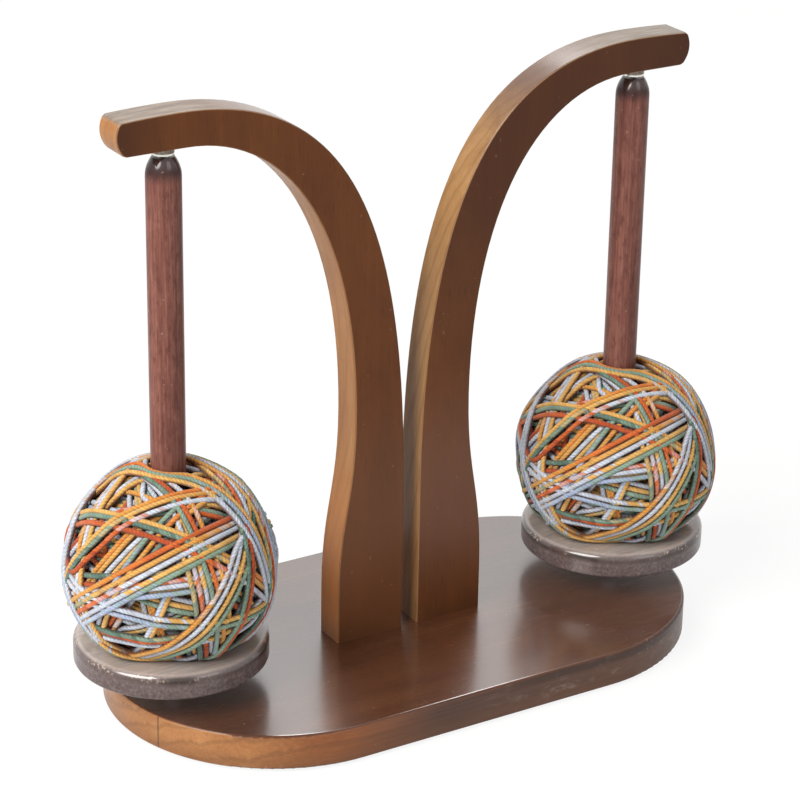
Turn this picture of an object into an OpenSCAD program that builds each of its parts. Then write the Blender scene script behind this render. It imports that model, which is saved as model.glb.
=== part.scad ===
// Rotating yarn holder: two bent arms stand on a board with round ends.
// Under each arm's tip a spindle hangs from a magnet by a steel ball and turns freely.
// Its disc carries a ball of yarn, and it is pulled down off the magnet to change the yarn.
// Millimetres, Z up. The origin lies under the middle of the board, at the level it stands on.

/* [Base board] */
// Length of the board over its round ends
base_l = 300; // [250:1:360]
// Width of the board and diameter of its round ends
base_w = 163; // [120:1:200]
// Thickness of the board
base_t = 17; // [12:0.5:25]
// Radius of the board's upper edge
base_round = 1.5; // [0.5:0.25:5]
// Radius of the board's lower edge
base_ease = 1; // [0.25:0.25:3]

/* [Foot pads] */
// Diameter of an anti-slip pad
pad_d = 14; // [8:1:20]
// Height of a pad under the board
pad_t = 1.5; // [1:0.25:3]
// Distance from a pad's edge to the board's rim
pad_inset = 6; // [3:1:15]

/* [Arms] */
// Thickness of the arm boards
arm_t = 17; // [12:0.5:25]
// Height of the arms above the board
arm_rise = 274.5; // [220:0.5:320]
// Gap between the backs of the two arms
arm_gap = 8.4; // [2:0.2:20]
// Width of an arm where it stands on the board
foot_w = 35.4; // [28:0.2:45]
// Height up to which the inner edge of the foot is straight
foot_h = 23; // [5:1:40]
// Height of the waist above the board
waist_h = 114; // [80:1:140]
// How far the inner edge draws in from foot to waist
waist_in = 8.6; // [2:0.2:12]
// Height up to which the back is straight
back_h = 67; // [40:1:110]
// Length of the tip's top, from the arm's highest place on
tip_run = 30; // [15:1:40]
// How far that top falls towards the end
tip_fall = 1; // [0:0.25:3]
// How far the tip reaches past the spindle
tip_over = 26; // [20:1:40]
// Depth of an arm over its spindle
tip_d = 16.5; // [13:0.5:25]
// How far the tip's end bulges out between its corners
tip_bulge = 2.9; // [1:0.1:4]
// How far the tip's lower corner stands back behind the upper one
tip_slant = 2; // [0:0.5:5]
// Radius of the arms' eased edges
arm_ease = 1; // [0.5:0.25:1.25]

/* [Spindles] */
// Distance of a spindle from the middle of the holder
spindle_x = 123.4; // [105:0.2:140]
// Diameter of a rod
rod_d = 16; // [12:0.5:20]
// Diameter of the flat at a rod's upper end
rod_top_d = 10; // [8:0.5:11]
// Height of the rounded shoulder under that flat
rod_dome_h = 9; // [4:0.5:14]
// Diameter of the steel ball in a rod's upper end
ball_d = 6; // [4:0.5:7]
// How far the steel ball stands out of the rod
ball_proud = 1; // [0.5:0.1:1.5]

/* [Magnets] */
// Diameter of a magnet
magnet_d = 10; // [8:0.5:12]
// Length of a magnet
magnet_l = 8; // [6:0.5:10]
// How far a magnet stands out under the arm
magnet_proud = 3.5; // [1:0.25:5]

/* [Discs] */
// Diameter of a disc
disc_d = 90; // [70:1:100]
// Thickness of a disc
disc_t = 12; // [9:0.5:16]
// Gap between the board and a hanging disc
disc_lift = 13; // [6:0.5:20]
// Radius of a disc's upper edge
disc_round = 3; // [0.5:0.25:5]
// Radius of a disc's lower edge
disc_ease = 1.5; // [0.25:0.25:3]
// Depth of the socket that a rod stands in
socket_h = 6; // [3:0.5:7]

/* [Screws] */
// Diameter of the screws' shanks
screw_d = 4; // [3:0.5:5]
// Diameter of the screws' countersunk heads
head_d = 8; // [7:0.5:10]
// Length of a screw from the board into an arm
arm_screw_l = 45; // [35:1:60]
// Distance between the two screws of an arm
arm_screw_gap = 18; // [12:1:22]
// Length of a screw from a disc into its rod
disc_screw_l = 30; // [20:1:40]
// How deep the heads sit below the surface
head_sink = 0.5; // [0.2:0.1:1]

/* [Yarn] */
// Diameter of a ball of yarn
yarn_d = 97; // [80:1:100]
// How far a ball has settled flat on its disc
yarn_settle = 14.5; // [5:0.5:18]
// Diameter of the yarn
strand_d = 3; // [2:0.25:4]
// Turns of yarn wound round a ball
yarn_turns = 14; // [8:1:15]

/* [Fits] */
// Gap round glued, pressed and screwed pieces
glue_gap = 0.05; // [0.02:0.01:0.1]
// Gap between a steel ball and its magnet, and round the ball
ball_gap = 0.05; // [0.02:0.01:0.1]
// Gap between the yarn and what it lies on
yarn_gap = 0.3; // [0.2:0.05:0.6]

/* [Hidden] */

// Colours
walnut = "#6b4329";
walnut_light = "#8a5a38";
disc_brown = "#77655c";
rod_brown = "#7d5046";
nickel = "#c9c9c6";
steel = "#a7a9ab";
rubber = "#2b2a29";
yarn_orange = "#dd7a3a";
yarn_gold = "#e8b765";

// Smoothness of round pieces
round_fn = 96;
// Segments of an arm's foot curve, its hollow, the tip's run and each half of the tip's end
foot_steps = 12;
hollow_steps = 30;
tip_steps = 4;
end_steps = 5;
// Steps round an eased edge
ease_steps = 3;
// How full the curves are, as the share of each curve's span that its handles take
foot_pull = 0.46;
hollow_pull_up = 0.64;
hollow_pull_out = 0.6;
back_pull_up = 0.615;
back_pull_out = 0.79;
// Flat rim round a magnet's hole
seat_rim = 2;
// How far a cut runs past the face that it opens
over = 1;
// Share of a countersunk head's half width that is its straight rim
head_rim = 0.15;
// Rings to a turn of yarn, and sides of a strand
turn_rings = 24;
strand_sides = 6;
// Angle between the winding's pole and its first turn
pole_angle = 10;
// Turns between that pole and the rod, with three quarters over so that the rod passes between turns
pole_turns = 2.75;

// Levels, from the surface the holder stands on upwards
board_top = pad_t + base_t;
arm_top = board_top + arm_rise;
arm_under = arm_top - tip_d;
magnet_low = arm_under - magnet_proud;
ball_top = magnet_low - ball_gap;
rod_top = ball_top - ball_proud;
disc_low = board_top + disc_lift;
disc_top = disc_low + disc_t;
rod_low = disc_top - socket_h;

// Places along the holder
arm_back = arm_gap / 2;
foot_edge = arm_back + foot_w;
waist_edge = foot_edge - waist_in;
seat_start = spindle_x - magnet_d / 2 - seat_rim;
seat_end = spindle_x + magnet_d / 2 + seat_rim;
arm_reach = spindle_x + tip_over;
arm_screw_mid = arm_back + foot_w / 2;

// Ball of yarn, measured from its own middle
yarn_mid = disc_top + yarn_d / 2 - yarn_settle;
yarn_foot = disc_top + yarn_gap - yarn_mid;
core_r = yarn_d / 2 - strand_d - yarn_gap;
core_foot = yarn_foot + strand_d + yarn_gap;
wind_r = yarn_d / 2 - strand_d / 2;

// Point at t on a curve with four control points
function curve_point(c, t) =
    (1 - t) ^ 3 * c[0] + 3 * (1 - t) ^ 2 * t * c[1] + 3 * (1 - t) * t ^ 2 * c[2] + t ^ 3 * c[3];

function curve(c, steps) = [for (i = [0:steps]) curve_point(c, i / steps)];

function unit(v) = v / norm(v);

// Edges of an arm as [x, z], both from the foot to the tip and with as many points
foot_span = waist_h - foot_h;
foot_curve = [
    [foot_edge, board_top + foot_h],
    [foot_edge, board_top + foot_h + foot_pull * foot_span],
    [waist_edge, board_top + waist_h - foot_pull * foot_span],
    [waist_edge, board_top + waist_h]
];
hollow_low = board_top + waist_h;
hollow_curve = [
    [waist_edge, hollow_low],
    [waist_edge, hollow_low + hollow_pull_up * (arm_under - hollow_low)],
    [seat_start - hollow_pull_out * (seat_start - waist_edge), arm_under],
    [seat_start, arm_under]
];
back_low = board_top + back_h;
back_end = arm_reach - tip_run;
back_curve = [
    [arm_back, back_low],
    [arm_back, back_low + back_pull_up * (arm_top - back_low)],
    [back_end - back_pull_out * (back_end - arm_back), arm_top],
    [back_end, arm_top]
];
// The tip's end is an arc from the lower corner to the upper one, and both corners are cut off a little
function top_level(run) = arm_top - tip_fall * (run / tip_run) ^ 2;
end_rise = tip_d - tip_fall;
end_chord = norm([tip_slant, end_rise]);
end_r = end_chord ^ 2 / (8 * tip_bulge) + tip_bulge / 2;
end_tilt = -atan(tip_slant / end_rise);
end_half = asin(end_chord / (2 * end_r));
end_mid = [arm_reach - end_r, arm_under + end_rise / 2 - (end_r - tip_bulge) * sin(end_tilt)];
function end_point(turn) = end_mid + end_r * [cos(end_tilt + turn), sin(end_tilt + turn)];
corner_turn = arm_ease / end_r * 180 / PI;
end_step = 2 * (end_half - corner_turn) / (2 * end_steps + 1);
low_run = end_point(-end_half)[0] - arm_ease - seat_end;
top_run = end_point(end_half)[0] - arm_ease - back_end;
hollow_points = curve(hollow_curve, hollow_steps);
hollow_edge = concat(
    [[foot_edge, board_top]],
    curve(foot_curve, foot_steps),
    [for (i = [1:hollow_steps]) hollow_points[i]],
    [for (i = [0:tip_steps]) [seat_end + low_run * i / tip_steps, arm_under]],
    [for (i = [0:end_steps]) end_point(corner_turn - end_half + end_step * i)]
);
back_edge = concat(
    [[arm_back, board_top]],
    curve(back_curve, foot_steps + hollow_steps),
    [
        for (i = [1:tip_steps + 1])
            let (run = top_run * i / (tip_steps + 1))
            [back_end + run, top_level(run)]
    ],
    [for (i = [0:end_steps]) end_point(end_half - corner_turn - end_step * i)]
);
edge_n = len(hollow_edge);
arm_outline = concat(hollow_edge, [for (i = [edge_n - 1:-1:0]) back_edge[i]]);
outline_n = len(arm_outline);

// Direction from an outline point into the board. At the foot's end it runs level, so the end stays flat.
function inward(i) =
    i == 0 ? [-1, 0] :
    i == outline_n - 1 ? [1, 0] :
    let (along = unit(arm_outline[i + 1] - arm_outline[i - 1])) [-along[1], along[0]];

// Layers across an arm's thickness as [y, inset], with a quarter round at each face
front_layers = [
    for (k = [0:ease_steps])
        let (a = 90 * k / ease_steps)
        [-arm_t / 2 + arm_ease * (1 - cos(a)), arm_ease * (1 - sin(a))]
];
arm_layers = concat(
    front_layers,
    [for (k = [ease_steps:-1:0]) [-front_layers[k][0], front_layers[k][1]]]
);

// Points of the winding: one turn after another from pole to pole of an axis that leans from the spindle
wind_points = yarn_turns * turn_rings;
wind_lean = pole_angle + (180 - 2 * pole_angle) * pole_turns / yarn_turns;
wind_start = 180 - 360 * (pole_turns - 0.5);
rod_room = rod_d / 2 + yarn_gap + strand_d / 2;
strand_low = yarn_foot + strand_d / 2;

// Opens the turns round the rod, and lays them flat where the ball stands on its disc
function settled(p) =
    let (
        off = norm([p[0], p[1]]),
        open = (off ^ 3 + rod_room ^ 3) ^ (1 / 3) / off
    )
    [p[0] * open, p[1] * open, max(p[2], strand_low)];

function wound(i) =
    let (
        turn = 360 * i / turn_rings + wind_start,
        polar = pole_angle + (180 - 2 * pole_angle) * i / wind_points,
        x = wind_r * sin(polar) * cos(turn),
        y = wind_r * sin(polar) * sin(turn),
        z = wind_r * cos(polar)
    )
    settled([x * cos(wind_lean) + z * sin(wind_lean), y, z * cos(wind_lean) - x * sin(wind_lean)]);

wind_path = [for (i = [0:wind_points]) wound(i)];

// Stadium-shaped plate whose upper and lower edges are rounded
module edge_profile(half, thick, upper, lower) {
    translate([0, lower])
        square([half, thick - upper - lower]);
    square([half - lower, lower]);
    translate([0, thick - upper])
        square([half - upper, upper]);
    translate([half - upper, thick - upper])
        circle(r = upper, $fn = round_fn);
    translate([half - lower, lower])
        circle(r = lower, $fn = round_fn);
}

module board_blank() {
    span = base_l - base_w;
    for (side = [0, 1])
        rotate([0, 0, 180 * side])
            translate([span / 2, 0, 0])
                rotate([0, 0, -90])
                    rotate_extrude(angle = 180, $fn = round_fn)
                        edge_profile(base_w / 2, base_t, base_round, base_ease);
    for (side = [0, 1])
        rotate([0, 0, 180 * side])
            translate([-span / 2, 0, 0])
                rotate([90, 0, 90])
                    linear_extrude(span)
                        edge_profile(base_w / 2, base_t, base_round, base_ease);
}

// Countersunk screw with its head's face at the origin and its point upwards. Grown, it cuts its own hole.
module screw(length, grow = 0) {
    shank = screw_d / 2 + grow;
    head = head_d / 2 + grow;
    rim = head_d / 2 * head_rim;
    rotate_extrude($fn = round_fn)
        polygon([
            [0, 0],
            [head, 0],
            [head, rim],
            [shank, rim + head - shank],
            [shank, length - screw_d / 2],
            [0, length + grow]
        ]);
}

// Hole for a screw whose head sits below the surface
module screw_hole(length) {
    screw(length, glue_gap);
    translate([0, 0, -2 * head_sink])
        cylinder(d = head_d + 2 * glue_gap, h = 2 * head_sink + glue_gap, $fn = round_fn);
}

module at_arm_screws(side) {
    for (offset = [-1, 1])
        translate([side * arm_screw_mid + offset * arm_screw_gap / 2, 0, pad_t + head_sink])
            children();
}

module at_spindle(side) {
    translate([side * spindle_x, 0, 0])
        children();
}

module base_board() {
    color(walnut_light)
        difference() {
            translate([0, 0, pad_t])
                board_blank();
            for (side = [-1, 1])
                at_arm_screws(side)
                    screw_hole(arm_screw_l);
        }
}

module pad(side_x, side_y) {
    reach = base_w / 2 - pad_inset - pad_d / 2;
    color(rubber)
        translate([side_x * ((base_l - base_w) / 2 + reach * cos(45)), side_y * reach * sin(45), 0])
            cylinder(d = pad_d, h = pad_t, $fn = round_fn);
}

// Arm board on the right-hand side, skinned over its layers, with each face laid from edge to edge
module arm_blank() {
    layer_n = len(arm_layers);
    points = [
        for (layer = arm_layers, i = [0:outline_n - 1])
            let (p = arm_outline[i] + layer[1] * inward(i))
            [p[0], layer[0], p[1]]
    ];
    front = [
        for (i = [0:edge_n - 2])
            let (a = i, b = outline_n - 1 - i)
            each [[a, b, b - 1], [a, b - 1, a + 1]]
    ];
    last = (layer_n - 1) * outline_n;
    back = [for (f = front) [last + f[0], last + f[2], last + f[1]]];
    rim = [
        for (k = [0:layer_n - 2], i = [0:outline_n - 1])
            let (
                next = (i + 1) % outline_n,
                a = k * outline_n + i,
                b = k * outline_n + next,
                c = b + outline_n,
                d = a + outline_n
            )
            each [[a, b, c], [a, c, d]]
    ];
    polyhedron(points, concat(front, rim, back));
}

module arm(side) {
    color(walnut)
        difference() {
            mirror([side < 0 ? 1 : 0, 0, 0])
                arm_blank();
            at_spindle(side)
                translate([0, 0, magnet_low])
                    cylinder(d = magnet_d + 2 * glue_gap, h = magnet_l + glue_gap, $fn = round_fn);
            at_arm_screws(side)
                screw_hole(arm_screw_l);
        }
}

module arm_screws(side) {
    color(steel)
        at_arm_screws(side)
            screw(arm_screw_l);
}

module magnet(side) {
    color(nickel)
        at_spindle(side)
            translate([0, 0, magnet_low])
                cylinder(d = magnet_d, h = magnet_l, $fn = round_fn);
}

module pivot_ball(side) {
    color(steel)
        at_spindle(side)
            translate([0, 0, ball_top - ball_d / 2])
                sphere(d = ball_d, $fn = round_fn);
}

// Half section of a rod, with an arc from its side to the flat at its upper end
module rod_profile() {
    length = rod_top - rod_low;
    draw_in = (rod_d - rod_top_d) / 2;
    dome_r = (draw_in ^ 2 + rod_dome_h ^ 2) / (2 * draw_in);
    square([rod_d / 2, length - rod_dome_h]);
    intersection() {
        translate([0, length - rod_dome_h])
            square([rod_d / 2, rod_dome_h]);
        translate([rod_d / 2 - dome_r, length - rod_dome_h])
            circle(r = dome_r, $fn = round_fn);
    }
}

module rod(side) {
    ball_hole = ball_d - ball_proud + ball_gap;
    color(rod_brown)
        at_spindle(side)
            difference() {
                translate([0, 0, rod_low])
                    rotate_extrude($fn = round_fn)
                        rod_profile();
                translate([0, 0, rod_top - ball_hole])
                    cylinder(d = ball_d + 2 * ball_gap, h = ball_hole + over, $fn = round_fn);
                translate([0, 0, disc_low + head_sink])
                    screw_hole(disc_screw_l);
            }
}

module disc(side) {
    color(disc_brown)
        at_spindle(side)
            difference() {
                translate([0, 0, disc_low])
                    rotate_extrude($fn = round_fn)
                        edge_profile(disc_d / 2, disc_t, disc_round, disc_ease);
                translate([0, 0, rod_low])
                    cylinder(d = rod_d + 2 * glue_gap, h = socket_h + over, $fn = round_fn);
                translate([0, 0, disc_low + head_sink])
                    screw_hole(disc_screw_l);
            }
}

module disc_screw(side) {
    color(steel)
        at_spindle(side)
            translate([0, 0, disc_low + head_sink])
                screw(disc_screw_l);
}

module yarn_core(side) {
    color(yarn_gold)
        at_spindle(side)
            translate([0, 0, yarn_mid])
                difference() {
                    sphere(r = core_r, $fn = round_fn);
                    translate([0, 0, -core_r])
                        cylinder(d = rod_d + 2 * yarn_gap, h = 2 * core_r, $fn = round_fn);
                    translate([-core_r, -core_r, core_foot - 2 * core_r])
                        cube(2 * core_r);
                }
}

// Strand swept along the winding, each ring squared to the strand and turned to the ball's middle
module strand() {
    last = len(wind_path) - 1;
    rings = [
        for (i = [0:last])
            let (
                along = unit(wind_path[min(i + 1, last)] - wind_path[max(i - 1, 0)]),
                across = unit(cross(along, wind_path[i])),
                out = cross(across, along)
            )
            for (s = [0:strand_sides - 1])
                let (a = 360 * s / strand_sides)
                wind_path[i] + strand_d / 2 * (cos(a) * across + sin(a) * out)
    ];
    start = [[for (s = [0:strand_sides - 1]) s]];
    end = [[for (s = [strand_sides - 1:-1:0]) last * strand_sides + s]];
    skin = [
        for (i = [0:last - 1], s = [0:strand_sides - 1])
            let (
                next = (s + 1) % strand_sides,
                a = i * strand_sides + s,
                b = i * strand_sides + next,
                c = b + strand_sides,
                d = a + strand_sides
            )
            each [[a, d, c], [a, c, b]]
    ];
    polyhedron(rings, concat(start, skin, end));
}

module yarn_winding(side) {
    color(yarn_orange)
        at_spindle(side)
            translate([0, 0, yarn_mid])
                rotate([0, 0, side < 0 ? 0 : 180])
                    strand();
}

// Least gap from the strand to itself, over points more than half a turn apart along it
wind_gap = min([
    for (i = [0:wind_points], j = [i + turn_rings / 2:1:wind_points])
        norm(wind_path[i] - wind_path[j]) - strand_d
]);
echo(least_gap_between_turns = wind_gap);

base_board();
pad(-1, -1);  // front_left_pad
pad(1, -1);  // front_right_pad
pad(-1, 1);  // back_left_pad
pad(1, 1);  // back_right_pad
arm(-1);  // left_arm
arm(1);  // right_arm
arm_screws(-1);  // left_arm_screws
arm_screws(1);  // right_arm_screws
magnet(-1);  // left_magnet
magnet(1);  // right_magnet
pivot_ball(-1);  // left_pivot_ball
pivot_ball(1);  // right_pivot_ball
rod(-1);  // left_rod
rod(1);  // right_rod
disc(-1);  // left_disc
disc(1);  // right_disc
disc_screw(-1);  // left_disc_screw
disc_screw(1);  // right_disc_screw
yarn_core(-1);  // left_yarn_core
yarn_core(1);  // right_yarn_core
yarn_winding(-1);  // left_yarn_winding
yarn_winding(1);  // right_yarn_winding
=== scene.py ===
import math
from functools import cached_property

import bpy
import numpy as np
from mathutils import Matrix, Vector, kdtree


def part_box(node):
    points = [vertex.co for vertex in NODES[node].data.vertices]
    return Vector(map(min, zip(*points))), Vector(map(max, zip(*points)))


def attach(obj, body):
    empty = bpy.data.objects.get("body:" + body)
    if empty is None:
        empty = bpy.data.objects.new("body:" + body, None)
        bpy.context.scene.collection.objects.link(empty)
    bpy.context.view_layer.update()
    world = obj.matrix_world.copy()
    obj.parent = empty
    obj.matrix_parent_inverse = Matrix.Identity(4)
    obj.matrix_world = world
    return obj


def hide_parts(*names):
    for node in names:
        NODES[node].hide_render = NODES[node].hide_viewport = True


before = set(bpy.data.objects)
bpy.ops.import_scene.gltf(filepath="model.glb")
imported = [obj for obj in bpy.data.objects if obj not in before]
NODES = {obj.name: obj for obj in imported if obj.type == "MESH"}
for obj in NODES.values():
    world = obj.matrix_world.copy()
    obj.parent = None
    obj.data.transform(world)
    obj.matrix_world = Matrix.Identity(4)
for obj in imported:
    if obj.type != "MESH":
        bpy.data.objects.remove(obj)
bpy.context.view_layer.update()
SIDES = ("left", "right")
WHITE = (1.0, 1.0, 1.0)
NO_SHIFT = (0.0, 0.0, 0.0)
TINY = 1e-6

# Camera of the photograph, fitted to the board's outline and the spindles
AZIMUTH, ELEVATION, ROLL = (math.radians(a) for a in (-31.695, 23.087, 0.969))
TARGET = Vector((-0.0022, 0.0, 0.13304))
DISTANCE = 1.3477
LENS_MM, SENSOR_MM = 129.9, 36.0

# Directions in the picture, before the camera's roll
VIEW_BACK = Vector((
    math.sin(AZIMUTH) * math.cos(ELEVATION),
    -math.cos(AZIMUTH) * math.cos(ELEVATION),
    math.sin(ELEVATION),
))
VIEW_RIGHT = Vector((math.cos(AZIMUTH), math.sin(AZIMUTH), 0.0))
VIEW_UP = VIEW_BACK.cross(VIEW_RIGHT)

# Studio: each lamp has a name, a place, a width, watts and a colour
LAMP_AIM = Vector((0.0, 0.0, 0.12))
LAMPS = [
    ("key", (-2.025, -0.525, 1.89), 1.95, 121.5, (1.0, 0.97, 0.93)),
    ("front_fill", (0.5, -1.9, 1.3), 1.2, 7.0, WHITE),
    ("back_fill", (0.9, 1.5, 2.2), 1.4, 26.0, WHITE),
]
FILL_LIGHT = 0.33
FLOOR_HALF = 6.0
FLOOR_COLOUR = (0.86, 0.86, 0.86)
FLOOR_GLOW = 0.88

# Sockets of a mix node that belong to colours: the share and both colours, and the result
MIX_INPUTS, MIX_RESULT = (0, 6, 7), 2

# Low and high values of a noise
NOISE_RANGE = (0.3, 0.7)


class Graph:
    """A material's node tree, with short calls to add and join its nodes."""

    def __init__(self, name):
        self.material = bpy.data.materials.new(name)
        self.material.use_nodes = True
        self.tree = self.material.node_tree
        self.shader = next(n for n in self.tree.nodes if n.type == "BSDF_PRINCIPLED")

    @cached_property
    def spot(self):
        """Place on the surface, in the frame of its object."""
        return self.node("TexCoord").outputs["Object"]

    def put(self, socket, value):
        if isinstance(value, bpy.types.NodeSocket):
            self.tree.links.new(value, socket)
        elif socket.type == "RGBA" and len(value) == 3:
            socket.default_value = (*value, 1.0)
        else:
            socket.default_value = value

    def node(self, kind, inputs=None, **settings):
        made = self.tree.nodes.new("ShaderNode" + kind)
        for key, value in settings.items():
            setattr(made, key, value)
        for key, value in (inputs or {}).items():
            self.put(made.inputs[key], value)
        return made

    def math(self, operation, *values):
        made = self.node("Math", operation=operation)
        for socket, value in zip(made.inputs, values):
            self.put(socket, value)
        return made.outputs[0]

    def product(self, first, *others):
        for other in others:
            first = self.math("MULTIPLY", first, other)
        return first

    def span(self, value, low, high, to_low=0.0, to_high=1.0):
        """Brings a value smoothly from the range low to high to the range to_low to to_high."""
        return self.node("MapRange", {
            "Value": value, "From Min": low, "From Max": high, "To Min": to_low, "To Max": to_high,
        }, interpolation_type="SMOOTHSTEP").outputs[0]

    def mix(self, share, a, b, blend="MIX"):
        made = self.node("Mix", data_type="RGBA", blend_type=blend)
        for index, value in zip(MIX_INPUTS, (share, a, b)):
            self.put(made.inputs[index], value)
        return made.outputs[MIX_RESULT]

    def over(self, colour, paint, *shares):
        """Lays a paint over a colour, as strong as the product of the shares."""
        return self.mix(self.product(*shares), colour, paint)

    def axes(self, vector):
        return self.node("SeparateXYZ", {"Vector": vector}).outputs

    def normal(self):
        return self.axes(self.node("TexCoord").outputs["Normal"])

    def stretched(self, scale, shift=NO_SHIFT):
        return self.node("Mapping", {"Vector": self.spot, "Scale": scale, "Location": shift}).outputs[0]

    def noise(self, vector, scale, detail=3.0, rough=0.5, distort=0.0):
        return self.node("TexNoise", {
            "Vector": vector, "Scale": scale, "Detail": detail, "Roughness": rough, "Distortion": distort,
        }).outputs[0]

    def specks(self, scale, low, high):
        """Sparse small marks, from 0 to 1."""
        return self.span(self.noise(self.spot, scale, 1.0, 0.4), low, high)

    def draw(self, index):
        """A random value from 0 to 1 for each whole number."""
        return self.node("TexWhiteNoise", {"W": index}, noise_dimensions="1D").outputs[0]

    def ramp(self, value, stops):
        made = self.node("ValToRGB", {"Fac": value})
        elements = made.color_ramp.elements
        while len(elements) < len(stops):
            elements.new(0.5)
        for element, (at, colour) in zip(elements, stops):
            element.position = at
            element.color = (*colour, 1.0)
        return made.outputs[0]

    def bump(self, height, strength, distance):
        made = self.node("Bump", {"Height": height, "Strength": strength, "Distance": distance})
        self.put(self.shader.inputs["Normal"], made.outputs[0])

    def surface(self, **values):
        for key, value in values.items():
            self.put(self.shader.inputs[key.replace("_", " ")], value)
        return self.material


def scaled(colour, by):
    return tuple(c * by for c in colour)


# Wood: how far each layer of the grain is drawn out, how fine it is, and its share of the tone
FIGURE_DRAWN, FIGURE_SCALE, FIGURE_SHARE = 0.07, 75.0, 0.62
FIBRE_DRAWN, FIBRE_SCALE = 0.022, 950.0
PORE_DRAWN, PORE_SCALE = 0.05, 1900.0
BLOTCH_SCALE, BLOTCH_SHARE = 28.0, 0.38
PORE_SHARE, PORE_DARKNESS = 0.45, 0.45
FACE_TONES = (0.34, 0.5, 0.68)
SIDE_TONES = (0.32, 0.5, 0.68)
RING_WAVER = 9.0
ALONG_X, ALONG_Z = 0, 2


class Wood(Graph):
    """Stained wood: its figure, its blotches, its tone from 0 to 1, and its colour from three shades."""

    def __init__(self, name, along, shades, shift, fibre_share):
        super().__init__(name)
        self.figure = self.noise(self.drawn_out(along, FIGURE_DRAWN, shift), FIGURE_SCALE, 4.0, 0.55, 0.7)
        fibre = self.noise(self.drawn_out(along, FIBRE_DRAWN, shift), FIBRE_SCALE, 4.0, 0.6)
        holes = self.noise(self.drawn_out(along, PORE_DRAWN, shift), PORE_SCALE, 2.0, 0.5)
        pores = self.span(holes, 0.60, 0.72)
        self.blotch = self.noise(self.spot, BLOTCH_SCALE, 3.0, 0.55)
        figured = self.product(self.figure, FIGURE_SHARE - fibre_share / 2)
        blotched = self.product(self.blotch, BLOTCH_SHARE - fibre_share / 2)
        grain = self.math("ADD", figured, self.product(fibre, fibre_share))
        self.tone = self.math("ADD", grain, blotched)
        stained = self.shaded(shades, FACE_TONES)
        self.colour = self.over(stained, scaled(shades[0], PORE_DARKNESS), pores, PORE_SHARE)
        self.bump(self.math("SUBTRACT", self.product(fibre, 0.5), pores), 0.12, 0.0004)

    def drawn_out(self, along, scale, shift):
        scales = [1.0, 1.0, 1.0]
        scales[along] = scale
        return self.stretched(scales, shift)

    def shaded(self, shades, tones=SIDE_TONES):
        """Colour that follows the tone through a dark, a middle and a light shade."""
        return self.ramp(self.tone, list(zip(tones, shades)))

    def rings(self, lean, gap):
        """Dark lines of the yearly rings, from 0 to 1: leaning planes that waver with the figure."""
        run = self.node("VectorMath", {0: self.spot, 1: lean}, operation="DOT_PRODUCT").outputs["Value"]
        phase = self.math("ADD", self.product(run, 2 * math.pi / gap), self.product(self.figure, RING_WAVER))
        return self.span(self.math("SINE", phase), 0.35, 1.0)

    def rough(self, low, high):
        return self.span(self.blotch, *NOISE_RANGE, low, high)


# Arms: shades, paints and shares, and zones in metres from where a change starts to where it is full
ARM_SHIFT = {"left": NO_SHIFT, "right": (0.23, 0.4, 0.11)}
ARM_FACE = ((0.080, 0.024, 0.006), (0.101, 0.031, 0.007), (0.126, 0.041, 0.010))
ARM_SIDE = {
    "left": ((0.19, 0.076, 0.023), (0.265, 0.118, 0.040), (0.35, 0.175, 0.068)),
    "right": ((0.165, 0.078, 0.024), (0.240, 0.123, 0.043), (0.32, 0.182, 0.075)),
}
ARM_RING_LEAN, ARM_RING_GAP = (0.25, 1.0, 0.16), 0.0065
FACE_RING, FACE_RING_SHARE = (0.055, 0.019, 0.007), 0.10
SIDE_RING, SIDE_RING_SHARE = (0.115, 0.045, 0.014), {"left": 0.16, "right": 0.28}
# Left arm's foot: a redder tone, also painted lighter as painted light where the ball's shadow falls
LIT_RUDDY_FACE, LIT_RUDDY_SIDE = (0.125, 0.044, 0.014), (0.50, 0.165, 0.034)
LIT_RUDDY_ZONE, LIT_RUDDY_SHARE = (0.12, 0.03), 0.6
DUSKY, DUSKY_ZONE, DUSKY_SHARE = (0.040, 0.014, 0.007), (0.13, 0.24), 0.6
STAIN, STAIN_ZONE, STAIN_SHARE = (0.028, 0.009, 0.005), (0.118, 0.165), {"left": 0.95, "right": 0.50}
# Painted glare: a lighter greyish band across the flat faces at middle height, standing for a soft reflection
FACE_GLARE, FACE_GLARE_SHARE = (0.150, 0.076, 0.052), {"left": 0.22, "right": 0.48}
FACE_GLARE_STARTS, FACE_GLARE_ENDS = (0.025, 0.070), (0.155, 0.090)
# Painted sheen: the tops towards the tips are painted pale grey, standing for a reflection of the white
# surroundings
TOP_SHEEN_DARK, TOP_SHEEN_LIGHT = (0.130, 0.094, 0.066), (0.300, 0.248, 0.196)
TOP_SHEEN_ZONE, TOP_SHEEN_SHARE = (0.070, 0.115), 0.80
# Light line along the eased edges: partly rubbed wear, partly a painted highlight on the rounded edges
RUBBED_AND_HIGHLIT, RUBBED_AND_HIGHLIT_SHARE = (0.36, 0.22, 0.12), 0.45
ARM_SPECK, ARM_SPECK_SHARE = (0.30, 0.21, 0.16), 0.16


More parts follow.
